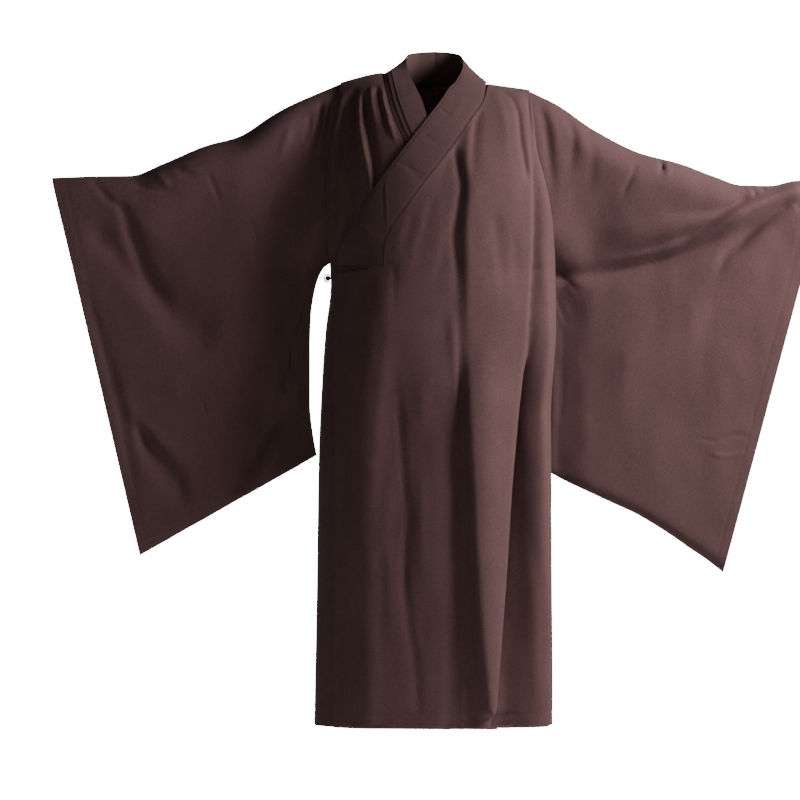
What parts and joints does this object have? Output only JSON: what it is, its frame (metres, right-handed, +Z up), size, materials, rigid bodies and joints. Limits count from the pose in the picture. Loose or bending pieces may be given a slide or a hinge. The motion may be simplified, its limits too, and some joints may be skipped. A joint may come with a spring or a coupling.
{
  "type": "buddhist monk robe, worn, with its sleeves held out",
  "caption": "Long robe with a crossed collar band and very wide hanging sleeves, worn, both arms held out to the sides.",
  "frame": {"origin": "on the centre line at the height of the neck's base, on the shoulders that carry the robe", "axes": "+Z up, the front faces -Y, +X towards the wearer's left"},
  "size_m": [1.552, 0.3565, 1.3496],
  "materials": {
    "robe_cloth": "matte plain weave, coffee brown",
    "collar_cloth": "matte plain weave, several layers, stitched",
    "rolled_cord": "rolled cloth cord"
  },
  "bodies": {
    "root": {"back_left": "robe_cloth", "back_right": "robe_cloth", "front_over": "robe_cloth", "front_under": "robe_cloth", "sleeve_left": "robe_cloth", "sleeve_right": "robe_cloth", "collar_left": "collar_cloth", "collar_right": "collar_cloth", "collar_layer_mid": "collar_cloth", "collar_layer_top": "collar_cloth", "knot_button": "rolled_cord", "button_loop": "rolled_cord", "side_tab": "robe_cloth"}
  },
  "joints": []
}
